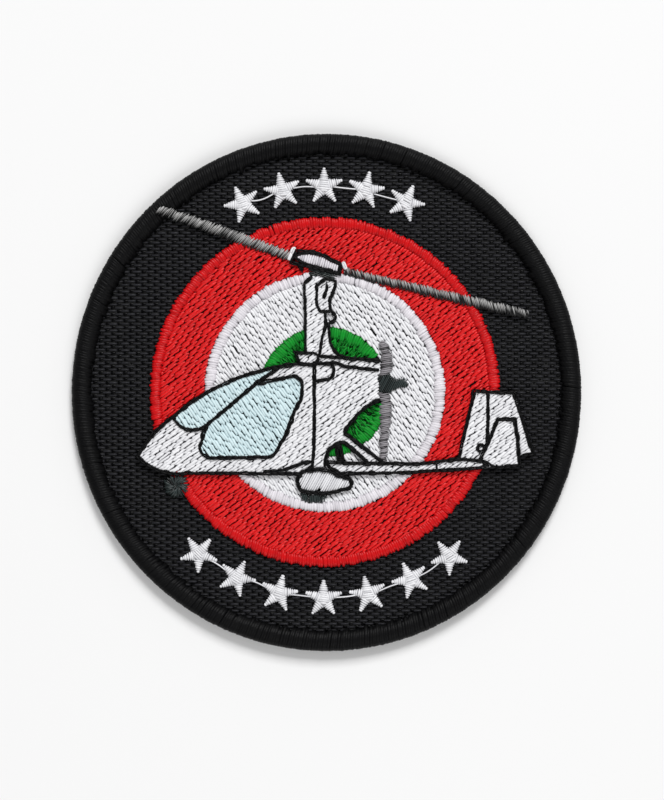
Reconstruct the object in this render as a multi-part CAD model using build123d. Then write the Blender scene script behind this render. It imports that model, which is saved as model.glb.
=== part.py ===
"""Round embroidered patch, 80 mm high: a stitched gyrocopter over a three-colour roundel.

Millimetres, +Z up. The origin is the patch's centre, on the surface that it lies on.
The embroidered side faces +Z, and +Y is the top of the picture.
"""

import os
from math import cos, hypot, pi, radians, sin

from build123d import *

# The patch
PATCH_WIDTH = 79.0
PATCH_HEIGHT = 80.2

# The layers, from the back to the front
FILM_THICKNESS = 0.15
STABILISER_THICKNESS = 0.40
GROUND_THICKNESS = 0.45
LIP_THICKNESS = 0.35
FILM_MARGIN = 0.30
SEAT_CLEARANCE = 0.02

# The merrowed border: thread wrapped over the edge, drawn in bundles of turns
BORDER_WIDTH = 3.20
BORDER_HEIGHT = 2.60
BORDER_WRAP = 1.00
BORDER_LIP = 2.10
BUNDLE_COUNT = 64
BUNDLE_DEPTH = 0.16
BORDER_SIDES = 6
BORDER_TURN = 270  # degrees of the section that the thread is rounded over

# The roundel of three colours, each ring with a satin edge
ROUNDEL_CENTRE = (-0.28, 0.08)
STAR_BAND_WIDTH = 9.32
RED_RING_WIDTH = 8.38
WHITE_RING_WIDTH = 8.52
EDGE_WIDTH = 1.45
FILL_THICKNESS = 0.50
EDGE_THICKNESS = 0.68
EDGE_BEVEL = 0.36

# The stitched picture: its fills and its outlines stand this far above the ground cloth
PICTURE_THICKNESS = 0.85
WINDOW_THICKNESS = 0.90
SATIN_THICKNESS = 0.92
OUTLINE_THICKNESS = 1.10
OUTLINE_WIDTH = 0.54
THIN_OUTLINE_WIDTH = 0.42
POST_WIDTH = 1.15
NOSE_WHEEL_RADIUS = 1.95
FIN_RING_RADIUS = 0.52
CAP_WIDTH = 0.50
STITCH_VOLUME = 0.12

# The stars in the band between roundel and border
STAR_RADIUS = 3.00
STAR_WALL = 0.30
STAR_THICKNESS = 0.70
STAR_POINTS = 5
INNER_POINT_SHARE = 0.382
TOP_STARS, TOP_MIDDLE, TOP_STEP = 5, 90.4, 11.8
BOTTOM_STARS, BOTTOM_MIDDLE, BOTTOM_STEP = 7, 269.4, 12.6

# Heights and radii worked out from the sizes above
CLOTH_BOTTOM = LIP_THICKNESS
CLOTH_MIDDLE = CLOTH_BOTTOM + STABILISER_THICKNESS
GROUND_TOP = CLOTH_MIDDLE + GROUND_THICKNESS
RED_RADIUS = PATCH_WIDTH / 2 - BORDER_WIDTH - STAR_BAND_WIDTH
WHITE_RADIUS = RED_RADIUS - RED_RING_WIDTH
GREEN_RADIUS = WHITE_RADIUS - WHITE_RING_WIDTH

# Outlines of the picture, as shares of the roundel's outer radius from its centre.
# Two numbers end a straight stretch, and four give an arc's middle and end.
BODY_SHARES = [
    (-1.072, -0.370), (-1.000, -0.262, -0.868, -0.143), (-0.660, 0.005, -0.385, 0.115),
    (-0.228, 0.152, -0.060, 0.155), (-0.060, -0.276), (-0.072, -0.425), (-0.137, -0.469),
    (-0.789, -0.464), (-0.960, -0.445, -1.038, -0.402), (-1.072, -0.370),
]
WINDSCREEN_SHARES = [
    (-0.868, -0.143), (-0.660, 0.005, -0.385, 0.115), (-0.262, 0.140), (-0.388, 0.052),
    (-0.679, -0.193), (-0.774, -0.218, -0.868, -0.143),
]
SIDE_WINDOW_SHARES = [
    (-0.679, -0.193), (-0.388, 0.052), (-0.180, 0.090), (-0.140, 0.068, -0.128, 0.020),
    (-0.135, -0.045), (-0.173, -0.105), (-0.212, -0.222), (-0.262, -0.315),
    (-0.290, -0.357, -0.345, -0.374), (-0.650, -0.380), (-0.700, -0.355, -0.715, -0.300),
    (-0.679, -0.193),
]
COWL_SHARES = [
    (0.317, -0.043), (0.203, -0.115, 0.112, -0.234), (0.095, -0.291), (0.065, -0.302),
    (0.027, -0.326), (0.005, -0.376), (0.002, -0.427), (-0.072, -0.425), (-0.060, -0.276),
    (-0.060, 0.155), (-0.028, 0.204), (0.122, 0.195), (0.320, 0.178), (0.318, 0.105),
    (0.308, 0.088), (0.310, -0.004), (0.317, -0.043),
]
MAST_FOOT_SHARES = [
    (-0.060, 0.155), (-0.028, 0.204), (-0.062, 0.224), (-0.109, 0.220), (-0.172, 0.229),
    (-0.141, 0.163), (-0.060, 0.155),
]
MAST_SHARES = [
    (-0.109, 0.220), (-0.115, 0.625), (-0.069, 0.664), (0.002, 0.649), (-0.047, 0.605),
    (-0.047, 0.500), (-0.026, 0.463), (0.006, 0.463), (0.012, 0.402), (0.022, 0.402),
    (0.030, 0.290), (0.056, 0.238, 0.122, 0.195), (-0.028, 0.204), (-0.062, 0.224),
    (-0.109, 0.220),
]
MAST_HEAD_SHARES = [
    (0.002, 0.649), (-0.047, 0.605), (-0.047, 0.500), (-0.026, 0.463), (0.033, 0.462),
    (0.028, 0.528), (0.048, 0.572), (0.067, 0.638), (0.002, 0.649),
]
HUB_BAR_SHARES = [
    (-0.165, 0.773), (-0.115, 0.787), (-0.068, 0.786), (-0.021, 0.776), (0.014, 0.756),
    (0.084, 0.722), (0.081, 0.687), (0.002, 0.713), (-0.121, 0.746), (-0.165, 0.773),
]
HUB_RIM_SHARES = [
    (-0.171, 0.817), (-0.068, 0.814), (0.014, 0.785), (0.100, 0.741), (0.092, 0.665),
    (-0.021, 0.692), (-0.121, 0.714), (-0.206, 0.735), (-0.171, 0.817),
]
HUB_BLOCK_SHARES = [
    (-0.096, 0.715), (0.076, 0.664), (0.068, 0.632), (0.025, 0.617), (0.002, 0.649),
    (-0.021, 0.664), (-0.084, 0.664), (-0.096, 0.715),
]
LEFT_BLADE_SHARES = [
    (-0.968, 1.031), (-0.962, 1.060, -0.921, 1.069), (-0.454, 0.903), (-0.186, 0.800),
    (-0.205, 0.750), (-0.454, 0.832), (-0.894, 1.001), (-0.968, 1.031),
]
RIGHT_BLADE_SHARES = [
    (0.110, 0.714), (0.843, 0.547), (1.153, 0.470), (1.174, 0.448, 1.156, 0.421),
    (0.821, 0.490), (0.110, 0.670), (0.110, 0.714),
]
NEAR_FIN_SHARES = [
    (0.767, -0.385), (0.859, 0.007), (0.936, 0.001), (0.935, -0.242), (0.929, -0.279),
    (0.903, -0.381), (0.767, -0.385),
]
FAR_FIN_SHARES = [
    (0.936, 0.001), (1.085, -0.004), (1.194, -0.354), (1.126, -0.367), (1.093, -0.158),
    (0.991, -0.158), (0.935, -0.242), (0.936, 0.001),
]
RUDDER_SHARES = [
    (0.938, -0.290), (0.991, -0.158), (1.093, -0.158), (1.108, -0.310), (1.119, -0.420),
    (0.983, -0.433), (0.929, -0.425), (0.890, -0.385), (0.938, -0.290),
]
BOOM_SHARES = [
    (0.007, -0.402), (0.226, -0.410), (0.546, -0.412), (0.756, -0.385), (0.902, -0.396),
    (0.974, -0.432), (0.796, -0.442), (0.433, -0.463), (0.088, -0.469), (0.028, -0.433),
    (0.007, -0.402),
]
STRUT_SHARES = [
    (0.112, -0.234), (0.334, -0.404), (0.245, -0.404), (0.118, -0.292), (0.095, -0.291),
    (0.112, -0.234),
]
SPINNER_SHARES = [
    (0.306, 0.079), (0.325, 0.096), (0.357, 0.101), (0.404, 0.078), (0.452, 0.072),
    (0.482, 0.046), (0.472, 0.030), (0.419, 0.022), (0.364, -0.004), (0.312, -0.004),
    (0.306, 0.079),
]
UPPER_PROPELLER_SHARES = [
    (0.325, 0.280), (0.348, 0.300), (0.378, 0.230), (0.388, 0.151), (0.372, 0.098),
    (0.323, 0.098), (0.333, 0.200), (0.325, 0.280),
]
LOWER_PROPELLER_SHARES = [
    (0.310, -0.006), (0.374, -0.006), (0.388, -0.075), (0.380, -0.165), (0.364, -0.250),
    (0.356, -0.396), (0.325, -0.392), (0.328, -0.060), (0.310, -0.006),
]
WHEEL_FAIRING_SHARES = [
    (-0.158, -0.510), (-0.125, -0.460, -0.064, -0.450), (0.010, -0.450, 0.066, -0.473),
    (0.141, -0.496), (0.152, -0.522, 0.110, -0.558), (-0.020, -0.580, -0.140, -0.562),
    (-0.158, -0.510),
]
MAIN_WHEEL_SHARES = [
    (-0.142, -0.575), (-0.110, -0.625, -0.064, -0.632), (-0.010, -0.627, 0.021, -0.580),
    (-0.060, -0.590, -0.142, -0.575),
]
NOSE_WHEEL_SHARE = (-0.851, -0.537)
FIN_RING_SHARE = (0.895, -0.322)

# Lines stitched inside the outlines, in the same shares
KEEL_LINE_SHARES = [(-0.354, -0.465), (-0.240, -0.449), (-0.111, -0.403), (-0.072, -0.399)]
COWL_BAND_SHARES = [(-0.060, 0.158), (0.065, 0.166), (0.115, 0.146), (0.313, 0.125)]
COWL_PANEL_SHARES = [(0.037, 0.157), (0.050, 0.110, 0.022, 0.072), (-0.060, 0.060)]
MAST_EDGE_SHARES = [(0.006, 0.463), (0.006, 0.385), (-0.017, 0.293), (-0.028, 0.204)]
MAST_KNUCKLE_SHARES = [(0.037, 0.459), (0.060, 0.440, 0.022, 0.402)]
MAST_SLOT_SHARES = [(0.012, 0.621), (0.009, 0.583), (-0.006, 0.532)]
BOOM_JOINT_SHARES = [(0.637, -0.398), (0.641, -0.452)]
POST_SHARES = [(0.077, -0.302), (0.093, -0.408)]
LEFT_CAP_SHARES = [(-0.172, 0.828), (-0.207, 0.755)]
RIGHT_CAP_SHARES = [(0.106, 0.745), (0.122, 0.704)]


def on_picture(share_x, share_y):
    """The point at these shares of the roundel's radius from its centre."""
    return (
        ROUNDEL_CENTRE[0] + share_x * RED_RADIUS,
        ROUNDEL_CENTRE[1] + share_y * RED_RADIUS,
    )


def path(shares):
    """Lines and arcs through a list of shares."""
    here = on_picture(*shares[0])
    edges = []
    for step in shares[1:]:
        end = on_picture(*step[-2:])
        if len(step) == 4:
            edges.append(Edge.make_three_point_arc(here, on_picture(*step[:2]), end))
        else:
            edges.append(Edge.make_line(here, end))
        here = end
    return Wire(edges)


def region(shares):
    """The face inside a closed list of shares."""
    return Face(path(shares))


def stroke(shares, width=OUTLINE_WIDTH):
    """The area that a line of thread covers: a band on both sides of the path."""
    line = path(shares)
    if not line.is_closed:
        return trace(line, line_width=width)
    sides = [Face(line.offset_2d(side * width / 2)) for side in (-1, 1)]
    inner, outer = sorted(sides, key=lambda side: abs(side.area))
    return outer - inner


def joined(areas):
    """One flat area from several that may cross."""
    whole = Sketch() + areas[0]
    for area in areas[1:]:
        whole = whole + area
    return whole


def raised(area, thickness):
    """Stitching over this area, from the ground cloth up."""
    return extrude(Pos(0, 0, GROUND_TOP) * area, amount=thickness, dir=(0, 0, 1))


class Stitching:
    """Pieces that are sewn on in turn, each over those that lie there already."""

    def __init__(self, laid):
        self.laid = laid

    def lay(self, name, solid):
        """Sew on a piece, cut to seat on the pieces under it, without scraps under a stitch."""
        box = solid.bounding_box()
        for other in self.laid.values():
            if box.overlaps(other.bounding_box()):
                solid = solid - other
        kept = [piece for piece in solid.solids() if piece.volume > STITCH_VOLUME]
        self.laid[name] = kept[0] if len(kept) == 1 else Compound(children=kept)


def ellipse_point(turn, inset=0.0):
    """The point and the outward direction at a turn of the patch's edge, set in by inset."""
    a, b = PATCH_WIDTH / 2, PATCH_HEIGHT / 2
    normal_x, normal_y = cos(turn) * b, sin(turn) * a
    length = hypot(normal_x, normal_y)
    normal_x, normal_y = normal_x / length, normal_y / length
    return (a * cos(turn) - inset * normal_x, b * sin(turn) - inset * normal_y), (normal_x, normal_y)


def layer(bottom, thickness, inset):
    """A disc of sheet with the patch's outline, set in by inset."""
    outline = Ellipse(PATCH_WIDTH / 2 - inset, PATCH_HEIGHT / 2 - inset)
    return extrude(Plane.XY.offset(bottom) * outline, amount=thickness)


def border_section(turn, sink):
    """The thread's closed C section at a turn, its outside sunk between two bundles."""
    (x, y), (normal_x, normal_y) = ellipse_point(turn)
    plane = Plane(origin=(x, y, 0), x_dir=(normal_x, normal_y, 0), z_dir=(normal_y, -normal_x, 0))
    half_width, half_height = BORDER_WIDTH / 2, BORDER_HEIGHT / 2
    points = []
    for side in range(BORDER_SIDES + 1):
        angle = pi - radians(BORDER_TURN) * side / BORDER_SIDES
        rise = half_height - (sink if angle > 0 else 0)
        points.append(
            (
                -half_width + (half_width - sink) * cos(angle),
                half_height + rise * sin(angle),
            )
        )
    lip = -BORDER_WRAP - BORDER_LIP
    channel = [
        (lip, 0),
        (lip, CLOTH_BOTTOM),
        (-BORDER_WRAP, CLOTH_BOTTOM),
        (-BORDER_WRAP, GROUND_TOP),
        (-BORDER_WIDTH + sink, GROUND_TOP),
    ]
    return plane * Wire.make_polygon(points + channel)


def make_border():
    """The merrowed border: a ring of thread bundles round the edge of the cloth."""
    stations = 2 * BUNDLE_COUNT
    sections = [
        border_section(2 * pi * i / stations, BUNDLE_DEPTH if i % 2 else 0.0)
        for i in range(stations)
    ]
    return Solid.make_loft(sections + [sections[0]], ruled=True)


def edge_ring(radius):
    """A crowned ring of satin stitch that ends at this radius."""
    inner = radius - EDGE_WIDTH
    crown = GROUND_TOP + EDGE_THICKNESS
    section = [
        (inner, 0, GROUND_TOP),
        (radius, 0, GROUND_TOP),
        (radius - EDGE_BEVEL, 0, crown),
        (inner + EDGE_BEVEL, 0, crown),
    ]
    return Pos(*ROUNDEL_CENTRE) * revolve(Face(Wire.make_polygon(section)), Axis.Z)


def fill_ring(outer, inner):
    """A flat ring of fill stitch, or a disc where there is no inner radius."""
    face = Circle(outer) - Circle(inner) if inner else Circle(outer)
    return extrude(Pos(*ROUNDEL_CENTRE, GROUND_TOP) * face, amount=FILL_THICKNESS)


def make_roundel():
    """Three rings of fill stitch, each closed by its satin edge."""
    rings = [
        # colour, outer radius, next ring's radius
        ("red", RED_RADIUS, WHITE_RADIUS),
        ("white", WHITE_RADIUS, GREEN_RADIUS),
        ("green", GREEN_RADIUS, 0),
    ]
    pieces = {}
    for colour, outer, inner in rings:
        pieces[f"roundel_{colour}_fill"] = fill_ring(outer - EDGE_WIDTH, inner)
        pieces[f"roundel_{colour}_edge"] = edge_ring(outer)
    return pieces


def make_star(turn, pointing):
    """One satin star of the band, its first point turned outwards or inwards."""
    (edge_x, edge_y), _ = ellipse_point(radians(turn), BORDER_WIDTH)
    centre_x, centre_y = ROUNDEL_CENTRE
    foot = (
        centre_x + RED_RADIUS * cos(radians(turn)),
        centre_y + RED_RADIUS * sin(radians(turn)),
    )
    place = Pos((edge_x + foot[0]) / 2, (edge_y + foot[1]) / 2, GROUND_TOP)
    points = []
    for i in range(2 * STAR_POINTS):
        reach = STAR_RADIUS * (INNER_POINT_SHARE if i % 2 else 1)
        angle = radians(turn) + pi * i / STAR_POINTS + (0 if pointing == "outwards" else pi)
        points.append((reach * cos(angle), reach * sin(angle)))
    base = Wire.make_polygon(points)
    peak = Vertex(0, 0, STAR_THICKNESS)
    return place * Solid.make_loft([base, Pos(0, 0, STAR_WALL) * base, peak], ruled=True)


def star_arc(count, middle, step, pointing):
    """A row of stars, evenly spaced about its middle."""
    first = middle - step * (count - 1) / 2
    return Compound(children=[make_star(first + step * i, pointing) for i in range(count)])


def make_picture(sewing):
    """The gyrocopter's coloured areas."""
    inside_border = layer(GROUND_TOP, BORDER_HEIGHT, BORDER_WIDTH + SEAT_CLEARANCE)
    left_blade = raised(region(LEFT_BLADE_SHARES), SATIN_THICKNESS) & inside_border
    sewing.lay("rotor_blade_left", left_blade)
    sewing.lay("rotor_blade_right", raised(region(RIGHT_BLADE_SHARES), SATIN_THICKNESS))
    fills = [
        # name, outline, thickness
        ("windscreen", WINDSCREEN_SHARES, WINDOW_THICKNESS),
        ("side_window", SIDE_WINDOW_SHARES, WINDOW_THICKNESS),
        ("body", BODY_SHARES, PICTURE_THICKNESS),
        ("engine_cowl", COWL_SHARES, PICTURE_THICKNESS),
        ("mast_foot", MAST_FOOT_SHARES, PICTURE_THICKNESS),
        ("mast", MAST_SHARES, PICTURE_THICKNESS),
        ("mast_head", MAST_HEAD_SHARES, PICTURE_THICKNESS),
        ("hub_bar", HUB_BAR_SHARES, SATIN_THICKNESS),
        ("hub_block", HUB_BLOCK_SHARES, PICTURE_THICKNESS),
        ("fin_near", NEAR_FIN_SHARES, PICTURE_THICKNESS),
        ("fin_far", FAR_FIN_SHARES, PICTURE_THICKNESS),
        ("rudder", RUDDER_SHARES, PICTURE_THICKNESS),
        ("tail_boom", BOOM_SHARES, PICTURE_THICKNESS),
        ("boom_strut", STRUT_SHARES, PICTURE_THICKNESS),
        ("propeller_spinner", SPINNER_SHARES, SATIN_THICKNESS),
        ("propeller_blade_upper", UPPER_PROPELLER_SHARES, SATIN_THICKNESS),
        ("propeller_blade_lower", LOWER_PROPELLER_SHARES, SATIN_THICKNESS),
        ("wheel_fairing", WHEEL_FAIRING_SHARES, SATIN_THICKNESS),
        ("main_wheel", MAIN_WHEEL_SHARES, PICTURE_THICKNESS),
    ]
    for name, shares, thickness in fills:
        sewing.lay(name, raised(region(shares), thickness))
    disc = Pos(*on_picture(*NOSE_WHEEL_SHARE)) * Circle(NOSE_WHEEL_RADIUS)
    sewing.lay("nose_wheel", raised(disc, PICTURE_THICKNESS))


def make_outlines(sewing):
    """The black lines round and inside the coloured areas. A shared edge has one line."""
    inner, outer = FIN_RING_RADIUS - OUTLINE_WIDTH / 2, FIN_RING_RADIUS + OUTLINE_WIDTH / 2
    fin_ring = Pos(*on_picture(*FIN_RING_SHARE)) * (Circle(outer) - Circle(inner))
    lines = [
        # name, paths, width
        ("outline_body", [BODY_SHARES, KEEL_LINE_SHARES], OUTLINE_WIDTH),
        ("outline_windscreen", [WINDSCREEN_SHARES[2:]], OUTLINE_WIDTH),
        ("outline_side_window", [SIDE_WINDOW_SHARES[1:]], OUTLINE_WIDTH),
        (
            "outline_cowl",
            [COWL_SHARES[:2], COWL_SHARES[2:7], COWL_SHARES[10:13], COWL_BAND_SHARES, COWL_PANEL_SHARES],
            OUTLINE_WIDTH,
        ),
        (
            "outline_mast",
            [
                MAST_SHARES[:3], MAST_HEAD_SHARES, MAST_FOOT_SHARES[:6], MAST_SHARES[9:12],
                MAST_EDGE_SHARES, MAST_KNUCKLE_SHARES, MAST_SLOT_SHARES,
            ],
            THIN_OUTLINE_WIDTH,
        ),
        ("outline_boom", [BOOM_SHARES, BOOM_JOINT_SHARES], OUTLINE_WIDTH),
        ("outline_strut", [STRUT_SHARES[:2], STRUT_SHARES[2:5]], THIN_OUTLINE_WIDTH),
        (
            "outline_fins",
            [NEAR_FIN_SHARES[:5], FAR_FIN_SHARES[:4], RUDDER_SHARES],
            OUTLINE_WIDTH,
        ),
        ("outline_fairing", [WHEEL_FAIRING_SHARES], OUTLINE_WIDTH),
    ]
    others = {
        "outline_strut": stroke(POST_SHARES, POST_WIDTH),
        "outline_fins": fin_ring,
    }
    groups = [("outline_hub", [region(HUB_RIM_SHARES) - region(HUB_BAR_SHARES)])]
    for name, paths, width in lines:
        faces = [stroke(shares, width) for shares in paths]
        groups.append((name, faces + [others[name]] if name in others else faces))
    for name, faces in groups:
        sewing.lay(name, raised(joined(faces), OUTLINE_THICKNESS))
    caps = [stroke(LEFT_CAP_SHARES, CAP_WIDTH), stroke(RIGHT_CAP_SHARES, CAP_WIDTH)]
    sewing.lay("hub_caps", raised(joined(caps), OUTLINE_THICKNESS))


def make_patch():
    """Every piece of the patch, by name."""
    film_inset = BORDER_WRAP + BORDER_LIP + FILM_MARGIN
    cloth_inset = BORDER_WRAP + SEAT_CLEARANCE
    pieces = {
        "heat_seal_film": layer(CLOTH_BOTTOM - FILM_THICKNESS, FILM_THICKNESS, film_inset),
        "stabiliser": layer(CLOTH_BOTTOM, STABILISER_THICKNESS, cloth_inset),
        "ground_cloth": layer(CLOTH_MIDDLE, GROUND_THICKNESS, cloth_inset),
        "merrowed_border": make_border(),
    }
    pieces["stars_top"] = star_arc(TOP_STARS, TOP_MIDDLE, TOP_STEP, "outwards")
    pieces["stars_bottom"] = star_arc(BOTTOM_STARS, BOTTOM_MIDDLE, BOTTOM_STEP, "inwards")
    sewing = Stitching(make_roundel())
    make_picture(sewing)
    make_outlines(sewing)
    pieces.update(sewing.laid)
    return pieces


os.makedirs("parts", exist_ok=True)
for node, shape in make_patch().items():
    export_step(shape, f"parts/{node}.step")
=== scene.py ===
"""Looks of the round embroidered patch: every thread of its stitching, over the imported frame."""

import math

import bpy
import numpy as np
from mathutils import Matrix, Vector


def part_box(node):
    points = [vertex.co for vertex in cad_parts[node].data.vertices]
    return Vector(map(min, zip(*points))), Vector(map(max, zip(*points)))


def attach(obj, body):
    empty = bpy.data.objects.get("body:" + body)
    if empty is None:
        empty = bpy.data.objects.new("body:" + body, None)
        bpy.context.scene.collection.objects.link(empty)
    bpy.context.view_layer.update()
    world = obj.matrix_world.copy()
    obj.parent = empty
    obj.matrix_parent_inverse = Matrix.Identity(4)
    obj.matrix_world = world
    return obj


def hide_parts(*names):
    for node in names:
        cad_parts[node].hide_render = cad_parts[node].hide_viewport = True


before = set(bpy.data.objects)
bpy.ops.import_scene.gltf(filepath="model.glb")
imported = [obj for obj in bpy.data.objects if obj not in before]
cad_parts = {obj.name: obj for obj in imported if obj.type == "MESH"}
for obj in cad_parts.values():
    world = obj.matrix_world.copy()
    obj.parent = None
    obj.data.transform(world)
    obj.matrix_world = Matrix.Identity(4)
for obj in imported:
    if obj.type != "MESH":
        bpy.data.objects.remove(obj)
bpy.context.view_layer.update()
rng = np.random.default_rng(7)

MM = 0.001
TINY = 1e-12
BODY = "root"

# The pieces of the stitched picture that hide what is sewn below them, apart from its outlines
PICTURE_NODES = (
    "body", "windscreen", "side_window", "engine_cowl", "mast", "mast_head", "mast_foot",
    "fin_near", "fin_far", "rudder", "tail_boom", "wheel_fairing",
    "propeller_blade_upper", "propeller_blade_lower", "propeller_spinner",
)
COWL_NODES = ["engine_cowl", "mast_foot", "mast", "mast_head"]
TAIL_NODES = ["tail_boom", "boom_strut", "fin_near", "fin_far", "rudder"]

# Places in the picture, as shares of the red ring's radius from the roundel's centre
LEFT_BLADE = (
    (-0.966, 1.022), (-0.950, 1.054), (-0.921, 1.066), (-0.454, 0.903), (-0.186, 0.800),
    (-0.205, 0.750), (-0.454, 0.832), (-0.894, 0.994), (-0.940, 1.006),
)
SPINNER_ROOM = ((0.270, -0.060), (0.390, -0.060), (0.390, 0.260), (0.270, 0.260))
FIN_WEDGE = ((0.940, -0.195), (0.978, -0.195), (0.949, -0.262))
NOSE_STITCH = (((-1.072, -0.362), (-0.988, -0.250)),)
BOOM_TICK = (((0.640, -0.410), (0.643, -0.455)),)
HUB_STRAPS = (((-0.160, 0.735), (-0.126, 0.686)), ((-0.150, 0.736), (-0.122, 0.700)))

# The patch, read from the frame
border_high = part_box("merrowed_border")[1]
ring_low, ring_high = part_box("roundel_red_edge")
GROUND_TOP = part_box("ground_cloth")[1].z
HALF_WIDTH, HALF_HEIGHT, BORDER_HEIGHT = border_high
ROUNDEL = np.array([(ring_low.x + ring_high.x) / 2, (ring_low.y + ring_high.y) / 2])
RED_RADIUS = (ring_high.x - ring_low.x) / 2

# Threads of every kind. RINGS are the shares of a thread's length at which its rings lie
THREAD_RISE = 0.17 * MM
HEIGHT_SPREAD = 0.022 * MM
SHORTEST_THREAD = 0.12 * MM
RINGS = np.array([0, 0.05, 0.13, 0.27, 0.5, 0.73, 0.87, 0.95, 1.0])

# Fill stitch. At a needle hole its threads narrow, dip and turn aside, and darken with painted shade, in the
# steps of EYE
FILL_ANGLE, CROSS_ANGLE = 32.4, -59
FILL_PITCH = 0.408 * MM
FILL_HALF_WIDTH = 0.57 * FILL_PITCH
FILL_STITCH = 2.00 * MM
FILL_SHIFT = -0.23 * MM
FILL_REACH = 0.08 * MM
ROW_SPREAD = 0.11 * MM
STITCH_LEAN = 0.075 * MM
STITCH_SWAY = 0.030 * MM
HOLE_OFFSET = 1.10 * MM
HOLE_JITTER = 0.14 * MM
HOLES_SKIPPED = 0.03
HOLE_LENGTH = 0.38 * MM
HOLE_DEPTH = 0.10 * MM
HOLE_SPREAD = 0.090 * MM
EYE = np.array([0, 1 / 3, 2 / 3, 1])
EYE_DEPTH = np.array([1.0, 0.86, 0.40, 0])
EYE_WIDTH = np.array([0.72, 0.78, 0.92, 1])

# What lies under other stitching is left out, apart from this much at its edges
COVER_INSET = 0.60 * MM
COVER_GROWTH = 0.08 * MM
COVER_LEAST = 0.3 * MM
PROBE_SIDE = 0.25 * MM
PROBE_END = 0.2 * MM

# Satin: threads side by side, arched over a narrow area
SATIN_PITCH = 0.36 * MM
SATIN_DROP = 0.35 * MM
SATIN_SKEW = 0.02 * MM
SATIN_BOW = 0.025 * MM
SATIN_FULL_LENGTH = 1.1 * MM
BLADE_PITCH = 0.22 * MM
BLADE_DROP = 0.45 * MM
BLADE_SEAT = 0.35 * MM
HUB_LIFT = 0.10 * MM
EDGE_WIDTH = 1.45 * MM
EDGE_FOOT = 0.25 * MM
EDGE_OUTSIDE = (-0.16 * MM, 0.20 * MM)

# Running stitch, for the outlines and the hub's caps
RUN_STITCH = 1.10 * MM
RUN_WIDTH = 0.33 * MM
RUN_INSET = 0.14 * MM
RUN_DROP = 0.30 * MM
BROAD_STRANDS = (RUN_INSET, 2.6 * RUN_INSET)
CAP_INSET = 0.10 * MM
RUN_OVERLAP = 0.07 * MM
RUN_SPREAD = 0.12 * MM
RUN_SWAY = 0.055 * MM
SHORTEST_LOOP = 1.2 * MM
SHORTEST_CHAIN = 0.25 * MM
SHARP_TURN = 38

# Loose threads and the fin's wedge, with how far they lie below the top of what they belong to
LOOSE_HALF_WIDTH = 0.17 * MM
NOSE_HALF_WIDTH = 0.13 * MM
NOSE_DROP = 0.45 * MM
WEDGE_DROP = 0.10 * MM
STRAP_FOOT, STRAP_TOP = 0.5 * MM, 0.1 * MM

# The merrowed border. BORDER_LEAN is by how many pitches a thread leans at each foot
BORDER_PITCH = 0.40 * MM
BORDER_WIDTH = 3.2 * MM
BORDER_YARN = 0.16 * MM
BORDER_RINGS = 15
BORDER_FRONT, BORDER_BACK = 184, -90
BORDER_FOOT_FROM, BORDER_FOOT_SPREAD = 150, 0.15 * MM
BORDER_LEAN = 1.6
BORDER_TAIL = (0.25 * MM, 0.50 * MM)

# The ground cloth's weave, cell by cell
WEAVE_X = 0.945 * MM
WEAVE_Y = 0.505 * MM
WEAVE_DIP = 0.12 * MM
WEFT_STEPS = (0, 0.05, 0.14, 0.5, 0.86, 0.95, 1)
WARP_STEPS = (0, 0.14, 0.5, 0.86, 1)
GROUND_SINK = 0.12 * MM

# Stars. Their inner corners are a share of their reach, and the pentagon's corners shares of that
STAR_ARMS = 5
STAR_INNER = 0.382
STAR_BACK, STAR_WIDEST = 0.309, 0.951
STAR_ROOM = 3.2 * MM
LINK_HALF_WIDTH, LINK_RISE = 0.11 * MM, 0.14 * MM
LINK_GAP = 0.22
LINK_SPREAD, LINK_SAG = 0.15 * MM, 0.25 * MM
LINK_FOOT, LINK_SWELL = 0.12 * MM, 0.10 * MM

# The grain of materials, and SHADE_WEIGHT: how much a thread's shade value, painted shade and random tone,
# darkens it
SHADE_WEIGHT = 0.30
PLY_LINES, PLY_SLANT = 11.0, 2.2
FIBRE_SCALE, FIBRE_WEIGHT = 5200.0, 0.25
BUMP_DEPTH = 0.03 * MM

# The photograph's view: straight down, with this much of the floor in the frame
PHOTO_WIDTH, PHOTO_HEIGHT = 664, 800
PIXEL = 0.155 * MM
PATCH_MIDDLE_X, PATCH_MIDDLE_Y = 326.5, 392.5
CAMERA_LENS = 100.0
SENSOR_WIDTH = 36.0

# The floor, and the light from all round
FLOOR_SIZE = 3.0
WORLD_STRENGTH = 0.38


def linear(*srgb):
    """A colour given as the photograph's 0 to 255 values, in linear light."""
    out = []
    for value in srgb:
        c = value / 255
        out.append(c / 12.92 if c <= 0.04045 else ((c + 0.055) / 1.055) ** 2.4)
    return (*out, 1.0)


def ways(turns):
    """Flat unit vectors at these angles."""
    return np.stack([np.cos(turns), np.sin(turns)], -1)


def left_of(way):
    """Flat vectors turned a quarter to the left."""
    return np.stack([-way[..., 1], way[..., 0]], -1)


def unit(vectors):
    """The vectors at a length of one."""
    return vectors / (np.linalg.norm(vectors, axis=-1, keepdims=True) + TINY)


def between(starts, ends, t):
    """Points from each start to its end, at the shares t of the way."""
    return starts[:, None, :] + (ends - starts)[:, None, :] * t[..., None]


def lifted(flat, height):
    """Flat points with their heights."""
    return np.concatenate([flat, np.broadcast_to(height, flat.shape[:-1])[..., None]], -1)


def picture_points(shares):
    """Points given as shares of the red ring's radius from the roundel's centre."""
    return ROUNDEL + np.array(shares) * RED_RADIUS


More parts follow.
